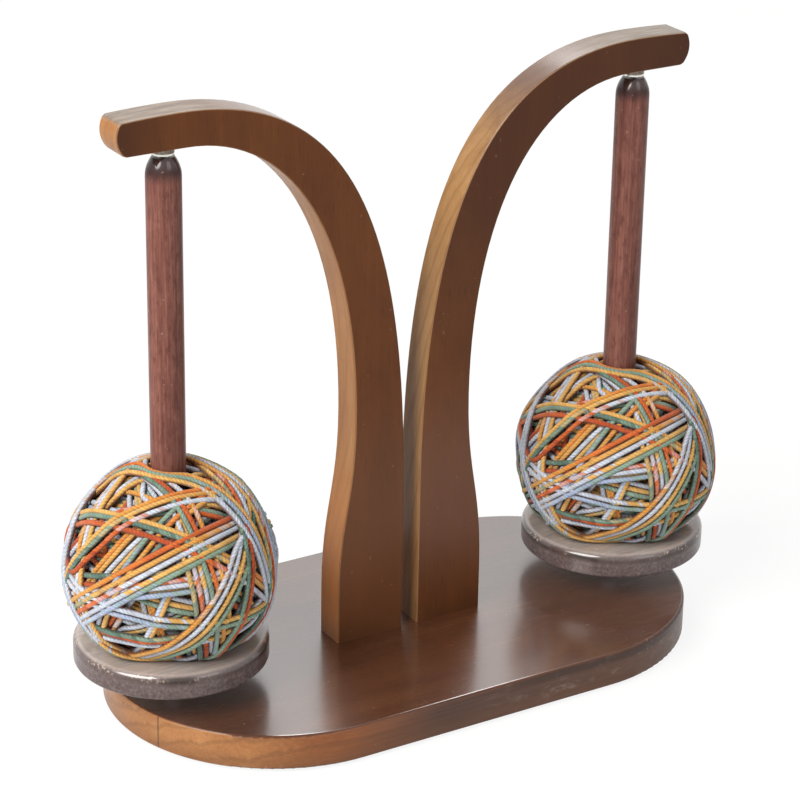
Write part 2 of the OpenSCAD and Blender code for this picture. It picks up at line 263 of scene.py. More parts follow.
def arm_material(side):
    """Dark flat faces, warm narrow sides, light rubbed edges that also carry a painted highlight, a painted
    glare across the faces, painted light at the left arm's foot, and tips painted pale on top as a painted
    sheen.
    """
    g = Wood(side + "_arm_walnut", ALONG_Z, ARM_FACE, ARM_SHIFT[side], fibre_share=0.2)
    x, _, z = g.axes(g.spot)
    _, sideways, upward = g.normal()
    reach = g.math("ABSOLUTE", x)
    flat = g.math("ABSOLUTE", sideways)
    up = g.span(upward, 0.55, 0.95)
    edge = g.product(g.span(flat, 0.6, 0.3), g.span(up, 0.0, 1.0, 1.0, 0.3))
    face = g.span(edge, 0.0, 1.0, 1.0, 0.0)
    rings = g.rings(ARM_RING_LEAN, ARM_RING_GAP)
    warm = g.over(g.shaded(ARM_SIDE[side]), SIDE_RING, rings, SIDE_RING_SHARE[side])
    colour = g.mix(edge, g.over(g.colour, FACE_RING, rings, FACE_RING_SHARE), warm)
    if side == "left":
        # Redder tone and painted light on the left arm's foot, against the ball's shadow
        lit_ruddy = g.mix(edge, LIT_RUDDY_FACE, LIT_RUDDY_SIDE)
        colour = g.over(colour, lit_ruddy, g.span(z, *LIT_RUDDY_ZONE), LIT_RUDDY_SHARE)
    else:
        colour = g.over(colour, DUSKY, g.span(z, *DUSKY_ZONE), g.span(edge, 0.0, 1.0, DUSKY_SHARE, 0.0))
    colour = g.over(colour, STAIN, g.span(reach, *STAIN_ZONE), STAIN_SHARE[side], face)
    # Painted glare across the middle height of the flat faces
    face_glare = g.product(g.span(z, *FACE_GLARE_STARTS), g.span(z, *FACE_GLARE_ENDS))
    colour = g.over(colour, FACE_GLARE, face_glare, face, FACE_GLARE_SHARE[side])
    # Painted sheen on the tops near the tips, in patches
    tip_top = g.product(up, g.span(reach, *TOP_SHEEN_ZONE))
    sheen_patches = g.noise(g.stretched((0.14, 1.0, 0.5), ARM_SHIFT[side]), 330.0, 5.0, 0.7)
    top_sheen = g.ramp(sheen_patches, [(0.34, TOP_SHEEN_DARK), (0.66, TOP_SHEEN_LIGHT)])
    colour = g.over(colour, top_sheen, tip_top, TOP_SHEEN_SHARE)
    # Rubbed wear and painted highlight along the eased edges
    rubbed_and_highlit = g.product(g.span(flat, 0.45, 0.62), g.span(flat, 0.92, 0.75))
    colour = g.over(colour, RUBBED_AND_HIGHLIT, rubbed_and_highlit, RUBBED_AND_HIGHLIT_SHARE)
    colour = g.over(colour, ARM_SPECK, g.specks(420.0, 0.77, 0.80), ARM_SPECK_SHARE)
    varnish = g.product(g.span(upward, 0.35, 0.9, 0.05, 1.0), g.span(tip_top, 0.0, 1.0, 1.0, 0.40))
    return g.surface(
        Base_Color=colour, Roughness=g.rough(0.30, 0.42), IOR=1.22,
        Coat_Weight=varnish, Coat_Roughness=0.25, Coat_IOR=1.62)


# Board: shades of its top and of its rim from left to right, zones in metres, and the strips it is glued from
BOARD_SHIFT = (0.3, 0.1, 0.0)
BOARD_TOP = ((0.042, 0.013, 0.005), (0.074, 0.024, 0.009), (0.108, 0.039, 0.016))
RIM_LEFT = ((0.21, 0.082, 0.024), (0.30, 0.130, 0.044), (0.39, 0.190, 0.072))
RIM_MIDDLE = ((0.140, 0.040, 0.010), (0.205, 0.066, 0.017), (0.28, 0.105, 0.031))
# The rim's dusky right part is painted shade, where the rim is turned away from the light
RIM_SHADED_RIGHT = ((0.044, 0.018, 0.011), (0.074, 0.033, 0.020), (0.12, 0.060, 0.040))
LEFT_TO_MIDDLE, MIDDLE_TO_RIGHT = (-0.135, -0.075), (-0.085, -0.020)
RIM_RING, RIM_RING_SHARE = (0.075, 0.030, 0.012), 0.26
RIM_RING_LEAN, RIM_RING_GAP = (0.05, 0.35, 1.0), 0.0085
SCUFF, SCUFF_ZONE, SCUFF_SHARE = (0.20, 0.150, 0.118), (-0.03, 0.06), 0.6
# Painted shade along the bottom of the rim
RIM_FOOT_SHADE, RIM_FOOT_SHADE_FROM, RIM_FOOT_SHADE_TO, RIM_FOOT_SHADE_SHARE = (0.105, 0.042, 0.017), 0.011, 0.002, 0.40
# Painted shadow: a dark band on the rim just under the rounded top edge, on the front right
LIP_SHADOW, LIP_LOW, LIP_HIGH = (0.030, 0.013, 0.008), 0.0062, 0.0030
LIP_ZONE, LIP_SHARE = (-0.02, 0.04), 0.75
GLUE_LINE, STRIP_WIDTH = -0.0280, 0.0567
STRIP_SHADE, TOP_STRIP_SHARE, RIM_STRIP_SHARE = (0.05, 0.02, 0.01), 0.22, 0.03
GLUE, GLUE_SHARE = (0.035, 0.015, 0.008), 0.6
BOARD_DUST, BOARD_DUST_SHARE = (0.34, 0.27, 0.23), 0.25


def board_material():
    """Glossy dark top with glued strips, and a rim that is warm at the left end and darker towards the right
    with painted shade, with painted shade along its foot and a painted shadow under its lip.
    """
    g = Wood("board_walnut", ALONG_X, BOARD_TOP, BOARD_SHIFT, fibre_share=0.35)
    x, y, z = g.axes(g.spot)
    upward = g.normal()[2]
    bottom, top = (corner.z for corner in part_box("base_board"))
    rim = g.span(g.math("ABSOLUTE", upward), 0.8, 0.35)
    side = g.mix(g.span(x, *LEFT_TO_MIDDLE), g.shaded(RIM_LEFT), g.shaded(RIM_MIDDLE))
    # Painted shade: the rim darkens towards the right
    side = g.mix(g.span(x, *MIDDLE_TO_RIGHT), side, g.shaded(RIM_SHADED_RIGHT))
    side = g.over(side, RIM_RING, g.rings(RIM_RING_LEAN, RIM_RING_GAP), RIM_RING_SHARE)
    rubs = g.noise(g.stretched((0.4, 0.4, 1.0)), 230.0, 5.0, 0.7)
    side = g.over(side, SCUFF, g.span(rubs, 0.52, 0.66), g.span(x, *SCUFF_ZONE), SCUFF_SHARE)
    # Painted shade: the rim darkens towards its bottom edge
    shade_at_foot = g.span(z, bottom + RIM_FOOT_SHADE_FROM, bottom + RIM_FOOT_SHADE_TO, 0.0, RIM_FOOT_SHADE_SHARE)
    side = g.over(side, RIM_FOOT_SHADE, shade_at_foot)
    # Painted shadow under the rounded top edge
    shadow_under_lip = g.span(z, top - LIP_LOW, top - LIP_HIGH)
    side = g.over(side, LIP_SHADOW, shadow_under_lip, g.span(x, *LIP_ZONE, 0.0, LIP_SHARE))
    colour = g.mix(rim, g.colour, side)
    strip = g.product(g.math("SUBTRACT", y, GLUE_LINE), 1.0 / STRIP_WIDTH)
    lot = g.draw(g.math("FLOOR", strip))
    part = g.math("FRACT", strip)
    from_joint = g.math("MINIMUM", part, g.math("SUBTRACT", 1.0, part))
    colour = g.over(colour, STRIP_SHADE, lot, g.span(rim, 0.0, 1.0, TOP_STRIP_SHARE, RIM_STRIP_SHARE))
    colour = g.over(colour, GLUE, g.span(from_joint, 0.012, 0.004), GLUE_SHARE)
    colour = g.over(colour, BOARD_DUST, g.specks(380.0, 0.76, 0.79), BOARD_DUST_SHARE)
    varnish = g.span(upward, 0.88, 0.985, 0.05, 1.0)
    return g.surface(
        Base_Color=colour, Roughness=g.rough(0.30, 0.40), IOR=1.30,
        Coat_Weight=varnish, Coat_Roughness=0.19, Coat_IOR=2.55)


# Rods: shades, paints and shares, and depths under the upper end at which the dome's paint starts and is full
ROD_SHIFT = {"left": NO_SHIFT, "right": (0.13, 0.21, 0.4)}
ROD_SHADES = ((0.074, 0.025, 0.018), (0.142, 0.052, 0.039), (0.226, 0.097, 0.073))
MOTTLE_DARK, MOTTLE_DARK_SHARE = (0.060, 0.021, 0.016), 0.55
MOTTLE_LIGHT, MOTTLE_LIGHT_SHARE = (0.225, 0.105, 0.082), 0.35
DOME, DOME_SHARE, DOME_FROM, DOME_TO = (0.024, 0.014, 0.015), 0.85, 0.012, 0.005
ROD_SPECK, ROD_SPECK_SHARE = (0.30, 0.20, 0.17), 0.4


def rod_material(side):
    """Mottled reddish dowel, with a dark glossy dome."""
    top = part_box(side + "_rod")[1].z
    g = Wood(side + "_rod_walnut", ALONG_Z, ROD_SHADES, ROD_SHIFT[side], fibre_share=0.5)
    z = g.axes(g.spot)[2]
    mottle = g.noise(g.stretched((1.0, 1.0, 0.3), ROD_SHIFT[side]), 420.0, 4.0, 0.65)
    colour = g.over(g.colour, MOTTLE_DARK, g.span(mottle, 0.50, 0.68, 0.0, MOTTLE_DARK_SHARE))
    colour = g.over(colour, MOTTLE_LIGHT, g.span(mottle, 0.46, 0.32, 0.0, MOTTLE_LIGHT_SHARE))
    colour = g.over(colour, DOME, g.span(z, top - DOME_FROM, top - DOME_TO), DOME_SHARE)
    colour = g.over(colour, ROD_SPECK, g.specks(500.0, 0.75, 0.79), ROD_SPECK_SHARE)
    varnish = g.span(g.normal()[2], 0.15, 0.50, 0.18, 1.0)
    return g.surface(
        Base_Color=colour, Roughness=g.rough(0.30, 0.45), IOR=1.16,
        Coat_Weight=varnish, Coat_Roughness=0.16, Coat_IOR=1.5)


# Discs: zones in metres from where a change starts to where it is full, inwards from the disc's edge
# or down from its top
DISC_SHIFT = {"left": NO_SHIFT, "right": (0.3, 0.17, 0.1)}
# The top's light grey is partly the turned wood's colour and partly painted light and reflection of the white
# surroundings
DISC_TOP = ((0.255, 0.212, 0.193), (0.360, 0.312, 0.287), (0.460, 0.412, 0.380))
DISC_SIDE = [(0.36, (0.044, 0.028, 0.027)), (0.52, (0.082, 0.056, 0.055)), (0.66, (0.135, 0.099, 0.096))]
DISC_SIDE_FROM, DISC_SIDE_TO, DISC_SIDE_SHARE = 0.0022, 0.0006, 0.95
# Painted highlight: a lighter band on the upper half of the disc's side
SIDE_HIGHLIGHT, SIDE_HIGHLIGHT_SHARE, SIDE_HIGHLIGHT_UNDER_MIDDLE, SIDE_HIGHLIGHT_UNDER_TOP = (0.240, 0.176, 0.168), 0.30, 0.002, 0.001
DISC_LIP = (0.030, 0.018, 0.014)
DISC_LIP_STARTS, DISC_LIP_ENDS = (0.0004, 0.0014), (0.0058, 0.0030)
CHIP, CHIP_SHARE = (0.42, 0.32, 0.25), 0.75
CHIP_IN_FROM, CHIP_IN_TO, CHIP_DOWN_FROM, CHIP_DOWN_TO = 0.0055, 0.0018, 0.0042, 0.0014


def disc_material(side):
    """Grey turned top, lightened partly as painted light and reflection, and a dark mottled side with a
    painted highlight on its upper half, whose lip is chipped and glossy.
    """
    lo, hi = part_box(side + "_disc")
    middle = (lo + hi) / 2
    radius = (hi.x - lo.x) / 2
    g = Wood(side + "_disc_walnut", ALONG_X, DISC_TOP, DISC_SHIFT[side], fibre_share=0.3)
    x, y, z = g.axes(g.spot)
    from_axis = g.node("CombineXYZ", {
        "X": g.math("SUBTRACT", x, middle.x), "Y": g.math("SUBTRACT", y, middle.y)}).outputs[0]
    off = g.node("VectorMath", {0: from_axis}, operation="LENGTH").outputs["Value"]
    on_side = g.span(off, radius - DISC_SIDE_FROM, radius - DISC_SIDE_TO)
    stain = g.ramp(g.noise(g.spot, 640.0, 5.0, 0.7), DISC_SIDE)
    # Painted highlight on the upper half of the side
    stain = g.over(stain, SIDE_HIGHLIGHT, g.span(z, middle.z - SIDE_HIGHLIGHT_UNDER_MIDDLE, hi.z - SIDE_HIGHLIGHT_UNDER_TOP), SIDE_HIGHLIGHT_SHARE)
    colour = g.over(g.colour, stain, on_side, DISC_SIDE_SHARE)
    lip_starts, lip_ends = (
        g.span(z, hi.z - start, hi.z - full) for start, full in (DISC_LIP_STARTS, DISC_LIP_ENDS))
    colour = g.over(colour, DISC_LIP, lip_starts, lip_ends, g.span(g.blotch, 0.40, 0.56, 0.50, 1.0), on_side)
    ring = g.product(
        g.span(off, radius - CHIP_IN_FROM, radius - CHIP_IN_TO),
        g.span(z, hi.z - CHIP_DOWN_FROM, hi.z - CHIP_DOWN_TO))
    chips = g.span(g.noise(g.spot, 620.0, 3.0, 0.65), 0.52, 0.62)
    places = g.span(g.noise(g.spot, 60.0, 2.0, 0.5), 0.46, 0.58)
    colour = g.over(colour, CHIP, ring, chips, places, CHIP_SHARE)
    varnish = g.span(g.normal()[2], 0.10, 0.40, 0.30, 1.0)
    return g.surface(
        Base_Color=colour, Roughness=g.rough(0.24, 0.36), IOR=1.24,
        Coat_Weight=varnish, Coat_Roughness=0.15, Coat_IOR=1.60)


# Metal and rubber: a colour, its roughness from and to, and how fine its grain is
STEEL, STEEL_ROUGH, STEEL_GRAIN = (0.68, 0.68, 0.69), (0.08, 0.16), 3000.0
ZINC, ZINC_ROUGH, ZINC_GRAIN = (0.60, 0.61, 0.62), (0.28, 0.44), 3200.0
NICKEL, NICKEL_ROUGH, NICKEL_GRAIN = (0.80, 0.78, 0.72), (0.22, 0.38), 2400.0
# Magnet: brown on its side is painted shade and painted reflection, starting and full at these heights over
# its lower end
SHADED_BROWN = [(0.3, (0.10, 0.075, 0.06)), (0.7, (0.24, 0.20, 0.17))]
SHADE_FROM, SHADE_TO = 0.0005, 0.0011
RUBBER, RUBBER_ROUGH, RUBBER_GRAIN = (0.016, 0.016, 0.016), (0.72, 0.9), 2600.0
PAD_DUST, PAD_DUST_SHARE = (0.075, 0.070, 0.066), 0.35
MARK_SCALE, MARK_SHARE, MARK_DARKNESS = 0.35, 0.35, 0.72


def metal_material(name, colour, rough, scale):
    """Metal with a fine grain and darker marks."""
    g = Graph(name)
    grain = g.noise(g.stretched((1.0, 1.0, 0.15)), scale, 4.0, 0.6)
    marks = g.span(g.noise(g.spot, scale * MARK_SCALE, 2.0), 0.60, 0.70)
    marked = g.over(colour, scaled(colour, MARK_DARKNESS), marks, MARK_SHARE)
    g.bump(grain, 0.08, 0.0001)
    return g.surface(Base_Color=marked, Metallic=1.0, Roughness=g.span(grain, *NOISE_RANGE, *rough))


def magnet_material(side):
    """Nickel plate, painted brown on its side as painted shade and a painted reflection of the wood round it,
    and left bright round its lower end as a painted reflection of the floor.
    """
    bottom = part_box(side + "_magnet")[0].z
    g = Graph(side + "_nickel")
    grain = g.noise(g.stretched((1.0, 1.0, 0.2)), NICKEL_GRAIN, 4.0, 0.6)
    # Painted reflection of the floor round the lower end
    floor_glint = g.span(g.axes(g.spot)[2], bottom + SHADE_TO, bottom + SHADE_FROM)
    shaded_brown = g.ramp(g.noise(g.spot, 700.0, 3.0, 0.6), SHADED_BROWN)
    g.bump(grain, 0.08, 0.0001)
    rough = g.span(grain, *NOISE_RANGE, *NICKEL_ROUGH)
    return g.surface(Base_Color=g.mix(floor_glint, shaded_brown, NICKEL), Metallic=1.0, Roughness=rough)


def rubber_material():
    """Black rubber with grey dust."""
    g = Graph("pad_rubber")
    grain = g.noise(g.spot, RUBBER_GRAIN, 3.0, 0.6)
    dust = g.span(g.noise(g.spot, 240.0, 3.0, 0.6), 0.5, 0.75)
    colour = g.over(RUBBER, PAD_DUST, dust, PAD_DUST_SHARE)
    g.bump(grain, 0.3, 0.0002)
    rough = g.span(grain, *NOISE_RANGE, *RUBBER_ROUGH)
    return g.surface(Base_Color=colour, Roughness=rough, Specular_IOR_Level=0.3)


# Yarn and its ball, in metres
STRAND = 0.0027  # thickness of the yarn
BALL_R = 0.0512  # farthest reach, where bands are piled up
FULL_R = 0.0484  # median reach
CORE_R = 0.0405  # bed of the first layer, before the ball is brought to size
INSIDE_R = 0.0370  # plain inside
BALL_MID = 0.0340  # height of the ball's middle over its disc
ROD_GAP = 0.0003  # room round the rod
FOOT_BEND = -0.028  # height from the ball's middle under which it is pressed flat
SQUISH = 0.62  # share of its thickness by which a strand lifts the next

# Winding
SEED = 11
STEPS = 90  # steps in a turn
LEAST_STEPS = 14.0  # and in a small turn at a pole
TURN_R = 0.046  # reach at which turns lie side by side
PITCH = 1.04 * STRAND / TURN_R  # angle from turn to turn
FIRST_AXIS = (0.75, 0.35, 0.55)  # axis of the first layer
POLE_GAP = 0.12  # angle that the first layer leaves open at its poles
FREE_BANDS, LEAST_TURNS, MOST_TURNS = 22, 2, 4  # bands over the low places, and turns in each
TRIES = 14  # axes that are tried for the lowest place
BAND_STEPS = 8  # least steps of a band
LONG_REST = 1.0  # angle past its whole turns for which a band has one turn less
SWAY, SWAY_RATES, PHASES = 0.006, (0.37, 0.61, 1.13), 6.28  # a band sways by slow waves
SPOTS = 16000  # spots at which the ball's height is kept
LEVEL_SPOTS = 60  # spots at which a circle's height is taken
ASKEW = (0.31, 0.52, 0.79)  # direction from which a circle starts
LIFT_REACH = 0.75 * STRAND / BALL_R  # how near a strand has to be to lift the next
COVER_REACH = 0.55 * STRAND / BALL_R  # how near a spot has to be to be covered by it
TAUT, TAUT_SPANS = 0.65, (10, 7, 5, 3, 2, 1, 1)  # draw towards the chord over these steps each way
PATH_EASE, HEIGHT_EASE = 6, 2  # passes that ease the strand's path and its height
POLE_FROM, POLE_RUN = 0.45, 0.35  # height, in reaches of the ball, over which the turns open round the rod

# Mesh of the strand
FINE = 6  # points for each step of the winding
SECTION = 6  # corners round the strand
RING_GAP = 0.0034  # distance from ring to ring
BENT_GAP = 0.0011  # least distance in a bend
BENT = 0.93  # cosine under which the strand counts as bent
SWELL, SWELL_RUN, SWELL_SPELL = 0.05, 0.0031, 0.0083  # its thickness varies by two waves

# Bands on the side that the photograph shows, from the first to the last: the direction in the picture from
# the ball's middle to where the band comes nearest to it, how far off that is, and the number of turns
SEEN_BANDS = [
    ((0.95, 0.3), 0.30, 3),
    ((-0.8, 0.6), 0.25, 3),
    ((0.1, -1.0), 0.72, 3),
    ((0.9, 0.35), 0.42, 3),
    ((-1.0, 0.1), 0.80, 3),
    ((0.37, 0.93), 0.30, 3),
    ((-0.2, -1.0), 0.50, 3),
    ((-0.46, 0.89), 0.58, 3),
    ((-0.47, 0.88), 0.04, 5),
    ((0.85, -0.5), 0.62, 4),
    ((1.0, 0.05), 0.78, 3),
    ((0.65, 0.75), 0.80, 4),
    ((-0.90, -0.45), 0.92, 3),
    ((0.92, 0.39), 0.96, 4),
]


def unit(v):
    return v / np.linalg.norm(v, axis=-1, keepdims=True)


def circle(angle, start, side):
    return np.cos(angle)[:, None] * start + np.sin(angle)[:, None] * side


def eased(values, passes):
    for _ in range(passes):
        inner = (values[:-2] + 2 * values[1:-1] + values[2:]) / 4
        values = np.concatenate([values[:1], inner, values[-1:]])
    return values


def seen_axis(across, up, off):
    """Axis of a band that comes nearest to the middle of the seen side at off along (across, up)."""
    towards = unit(across * np.array(VIEW_RIGHT) + up * np.array(VIEW_UP))
    return math.sqrt(1 - off * off) * towards - off * np.array(VIEW_BACK)


def under_layer():
    """Directions of the first layer: turn beside turn, from pole to pole of an axis that leans."""
    axis = unit(np.array(FIRST_AXIS))
    start = unit(np.cross(axis, [0.0, 0.0, 1.0]))
    side = np.cross(axis, start)
    polar = [POLE_GAP]
    while polar[-1] < math.pi - POLE_GAP:
        polar.append(polar[-1] + PITCH / max(LEAST_STEPS, STEPS * math.sin(polar[-1])))
    polar = np.array(polar)
    steps = np.maximum(LEAST_STEPS, STEPS * np.sin(polar[:-1]))
    turn = np.concatenate([[0], np.cumsum(2 * math.pi / steps)])
    return np.sin(polar)[:, None] * circle(turn, start, side) + np.cos(polar)[:, None] * axis


def band_path(axis, start, meet, turns, rng):
    """Directions of a band of turns round an axis, from start on to where it meets the next band."""
    side = np.cross(axis, start)
    rest = math.atan2(meet @ side, meet @ start) % (2 * math.pi)
    angle = 2 * math.pi * (turns - (1 if rest > LONG_REST else 0)) + rest
    a = np.linspace(0, angle, max(BAND_STEPS, int(angle / (2 * math.pi) * STEPS)), endpoint=False)
    sway = sum(rng.normal() * np.sin(a * rate + rng.uniform(0, PHASES)) for rate in SWAY_RATES) * SWAY
    tilt = PITCH * (a - angle / 2) / (2 * math.pi) + sway
    return unit(np.cos(tilt)[:, None] * circle(a, start, side) + np.sin(tilt)[:, None] * axis)


class Ball:
    """Heights of a ball of yarn over many spots, as yarn is drawn taut over what is wound before it."""

    def __init__(self):
        i = np.arange(SPOTS)
        z = 1 - (2 * i + 1) / SPOTS
        turn = i * math.pi * (3 - math.sqrt(5))
        ring = np.sqrt(1 - z * z)
        spots = np.stack([ring * np.cos(turn), ring * np.sin(turn), z], 1)
        self.tree = kdtree.KDTree(SPOTS)
        for k, p in enumerate(spots):
            self.tree.insert(p, k)
        self.tree.balance()
        self.height = np.full(SPOTS, CORE_R)
        self.paths, self.radii = [], []

    def level(self, axis):
        """Mean height along the circle round an axis."""
        start = unit(np.cross(axis, ASKEW))
        angles = np.linspace(0, 2 * math.pi, LEVEL_SPOTS, endpoint=False)
        points = circle(angles, start, np.cross(axis, start))
        return np.mean([self.height[self.tree.find(p)[1]] for p in points])

    def wind(self, path):
        step = 2 * math.pi / STEPS
        r = np.empty(len(path))
        for i, p in enumerate(path):
            under = [self.height[k] for _, k, _ in self.tree.find_range(p, LIFT_REACH)]
            r[i] = max(under, default=CORE_R) + SQUISH * STRAND / 2
        for reach in TAUT_SPANS:
            a, b = r[:-2 * reach], r[2 * reach:]
            chord = 2 * a * b * math.cos(reach * step) / (a + b)
            between = r[reach:-reach]
            r[reach:-reach] = np.maximum(between, (1 - TAUT) * between + TAUT * chord)
        r = eased(r, HEIGHT_EASE)
        for p, radius in zip(path, r):
            for _, k, _ in self.tree.find_range(p, COVER_REACH):
                self.height[k] = max(self.height[k], radius + SQUISH * STRAND / 2)
        self.paths.append(path)
        self.radii.append(r)


def wind_ball(rng):
    """One unbroken yarn: a close first layer, bands over the low places, and then the seen bands.
    It changes from band to band where the two cross."""
    ball = Ball()
    first = under_layer()
    ball.wind(first)
    planned = [(None, int(rng.integers(LEAST_TURNS, MOST_TURNS + 1))) for _ in range(FREE_BANDS)]
    planned += [(seen_axis(across, up, off), turns) for (across, up), off, turns in SEEN_BANDS]
    start = first[-1]
    axis = unit(np.cross(start, first[-1] - first[-4]))
    for i, (_, turns) in enumerate(planned):
        following = planned[i + 1][0] if i + 1 < len(planned) else axis
        if following is None:
            following = min(unit(rng.normal(size=(TRIES, 3))), key=ball.level)
        if following @ axis < 0:
            following = -following
        meet = np.cross(axis, following)
        if np.linalg.norm(meet) < TINY:
            meet = start
        else:
            meet = unit(meet) * (1 if rng.random() < 0.5 else -1)
        ball.wind(band_path(axis, start, meet, turns, rng))
        axis, start = following, meet
    return ball


def settled(p, rod_room, foot):
    """Opens the turns round the rod at both ends of the ball, and lays them flat on the disc."""
    p = p.copy()
    off = np.linalg.norm(p[:, :2], axis=1)
    near_pole = np.clip((np.abs(p[:, 2]) / BALL_R - POLE_FROM) / POLE_RUN, 0, 1)
    near_pole = near_pole * near_pole * (3 - 2 * near_pole)
    opened = off + near_pole * (np.hypot(off, rod_room) - off)
    p[:, :2] *= (opened / np.maximum(off, TINY))[:, None]
    low = -BALL_R + STRAND / 2
    share = np.clip((FOOT_BEND - p[:, 2]) / (FOOT_BEND - low), 0, 1)
    power = (FOOT_BEND - low) / (FOOT_BEND - foot)
    below = p[:, 2] < FOOT_BEND
    p[below, 2] = (FOOT_BEND - (FOOT_BEND - foot) * (1 - (1 - share) ** power))[below]
    return p


def brought_to_size(r, height):
    """Distances of the strand's middle, with the ball's median at the full reach and its piles over it."""
    r = (r + SQUISH * STRAND / 2) * FULL_R / np.percentile(height, 50) - STRAND / 2
    room = BALL_R - FULL_R
    over = np.maximum(r + STRAND / 2 - FULL_R, 0.0)
    return np.minimum(r, FULL_R - STRAND / 2) + room * (1 - np.exp(-over / room))


def thinned(points):
    """Points of a fine path at which the strand needs a ring: at even distances, and closer in bends."""
    kept = [0]
    heading = unit(points[1] - points[0])
    for k in range(1, len(points) - 1):
        gap = np.linalg.norm(points[k] - points[kept[-1]])
        ahead = unit(points[k + 1] - points[k])
        bent = heading @ ahead < BENT
        if gap > RING_GAP or (bent and gap > BENT_GAP):
            kept.append(k)
            heading = ahead
    return points[kept + [len(points) - 1]]


def yarn_path(rod_room, foot):
    ball = wind_ball(np.random.default_rng(SEED))
    way = unit(eased(np.concatenate(ball.paths), PATH_EASE))
    r = brought_to_size(eased(np.concatenate(ball.radii), HEIGHT_EASE), ball.height)
    at = np.arange(len(r))
    fine = np.linspace(0, len(r) - 1, (len(r) - 1) * FINE + 1)
    way = unit(np.stack([np.interp(fine, at, way[:, k]) for k in range(3)], 1))
    points = settled(way * np.interp(fine, at, r)[:, None], rod_room, foot)
    return thinned(eased(points, PATH_EASE))


def tube(path):
    """Corners, faces and (round, along) map of a strand along a path, closed at both ends."""
    along = unit(np.gradient(path, axis=0))
    across = unit(np.cross(along, path))
    out = np.cross(across, along)
    run = np.concatenate([[0], np.cumsum(np.linalg.norm(np.diff(path, axis=0), axis=1))])
    thick = STRAND / 2 * (1 + SWELL * np.sin(run / SWELL_RUN) * np.sin(run / SWELL_SPELL + 1.0))
    angle = np.arange(SECTION) * 2 * math.pi / SECTION
    rings = path[:, None] + thick[:, None, None] * (
        np.cos(angle)[None, :, None] * across[:, None] + np.sin(angle)[None, :, None] * out[:, None])
    n = len(path)
    i, s = (grid.ravel() for grid in np.meshgrid(np.arange(n - 1), np.arange(SECTION), indexing="ij"))
    beside = (s + 1) % SECTION
    here, ahead = i * SECTION, (i + 1) * SECTION
    faces = [list(quad) for quad in np.stack([here + s, here + beside, ahead + beside, ahead + s], 1)]
    faces.append(list(range(SECTION))[::-1])
    faces.append([(n - 1) * SECTION + k for k in range(SECTION)])
    u, beside_u = s / SECTION, (s + 1) / SECTION
    uv = [np.stack(corner, 1) for corner in (
        (u, run[i]), (beside_u, run[i]), (beside_u, run[i + 1]), (u, run[i + 1]))]
    ends = [np.full((SECTION, 2), (0.0, at)) for at in (0.0, run[-1])]
    return rings.reshape(-1, 3), faces, np.concatenate([np.stack(uv, 1).reshape(-1, 2), *ends])


# Dyes of the yarn, in the order in which they come along it, as shares of the length in which they repeat
GOLD, AMBER = (0.67, 0.405, 0.110), (0.64, 0.290, 0.045)
ORANGE, RUST = (0.63, 0.140, 0.019), (0.40, 0.058, 0.009)
SKY, LILAC = (0.52, 0.605, 0.71), (0.34, 0.445, 0.64)
SAGE, TEAL = (0.215, 0.335, 0.255), (0.070, 0.150, 0.120)
DYES = [
    (0.0, GOLD), (0.17, GOLD), (0.21, AMBER), (0.25, ORANGE), (0.34, RUST), (0.38, ORANGE),
    (0.41, SKY), (0.53, SKY), (0.57, LILAC), (0.60, SAGE), (0.69, SAGE), (0.74, TEAL),
    (0.77, SAGE), (0.80, GOLD), (0.88, AMBER), (0.91, SKY),
]
DYE_REPEAT = 0.74
PLIES, PLY_PITCH, PLY_LAG = 4, 0.0019, 0.020
HAIRS_ACROSS, HAIRS_ALONG = 5.0, 90.0
# The darker multiplier serves both deeper dye on some plies and painted shade in the grooves and on the
# strands' inner sides
DEEP_DYE_AND_SHADE, FLUFF, SOIL = (0.30, 0.17, 0.14), (0.80, 0.77, 0.74), (0.20, 0.09, 0.05)
TINT_SHARE, HAIR_SHARE, GROOVE_SHADE_SHARE, FLUFF_SHARE, SOIL_SHARE = 0.16, 0.40, 0.42, 0.10, 0.16
# Dyes of the inside, darkened as painted shade where it shows in the gaps
INSIDE_SHADED_DYES = [
    (0.30, (0.10, 0.035, 0.018)), (0.45, (0.30, 0.11, 0.035)), (0.55, (0.20, 0.18, 0.16)),
    (0.66, (0.10, 0.14, 0.11)), (0.8, (0.32, 0.18, 0.06)),
]


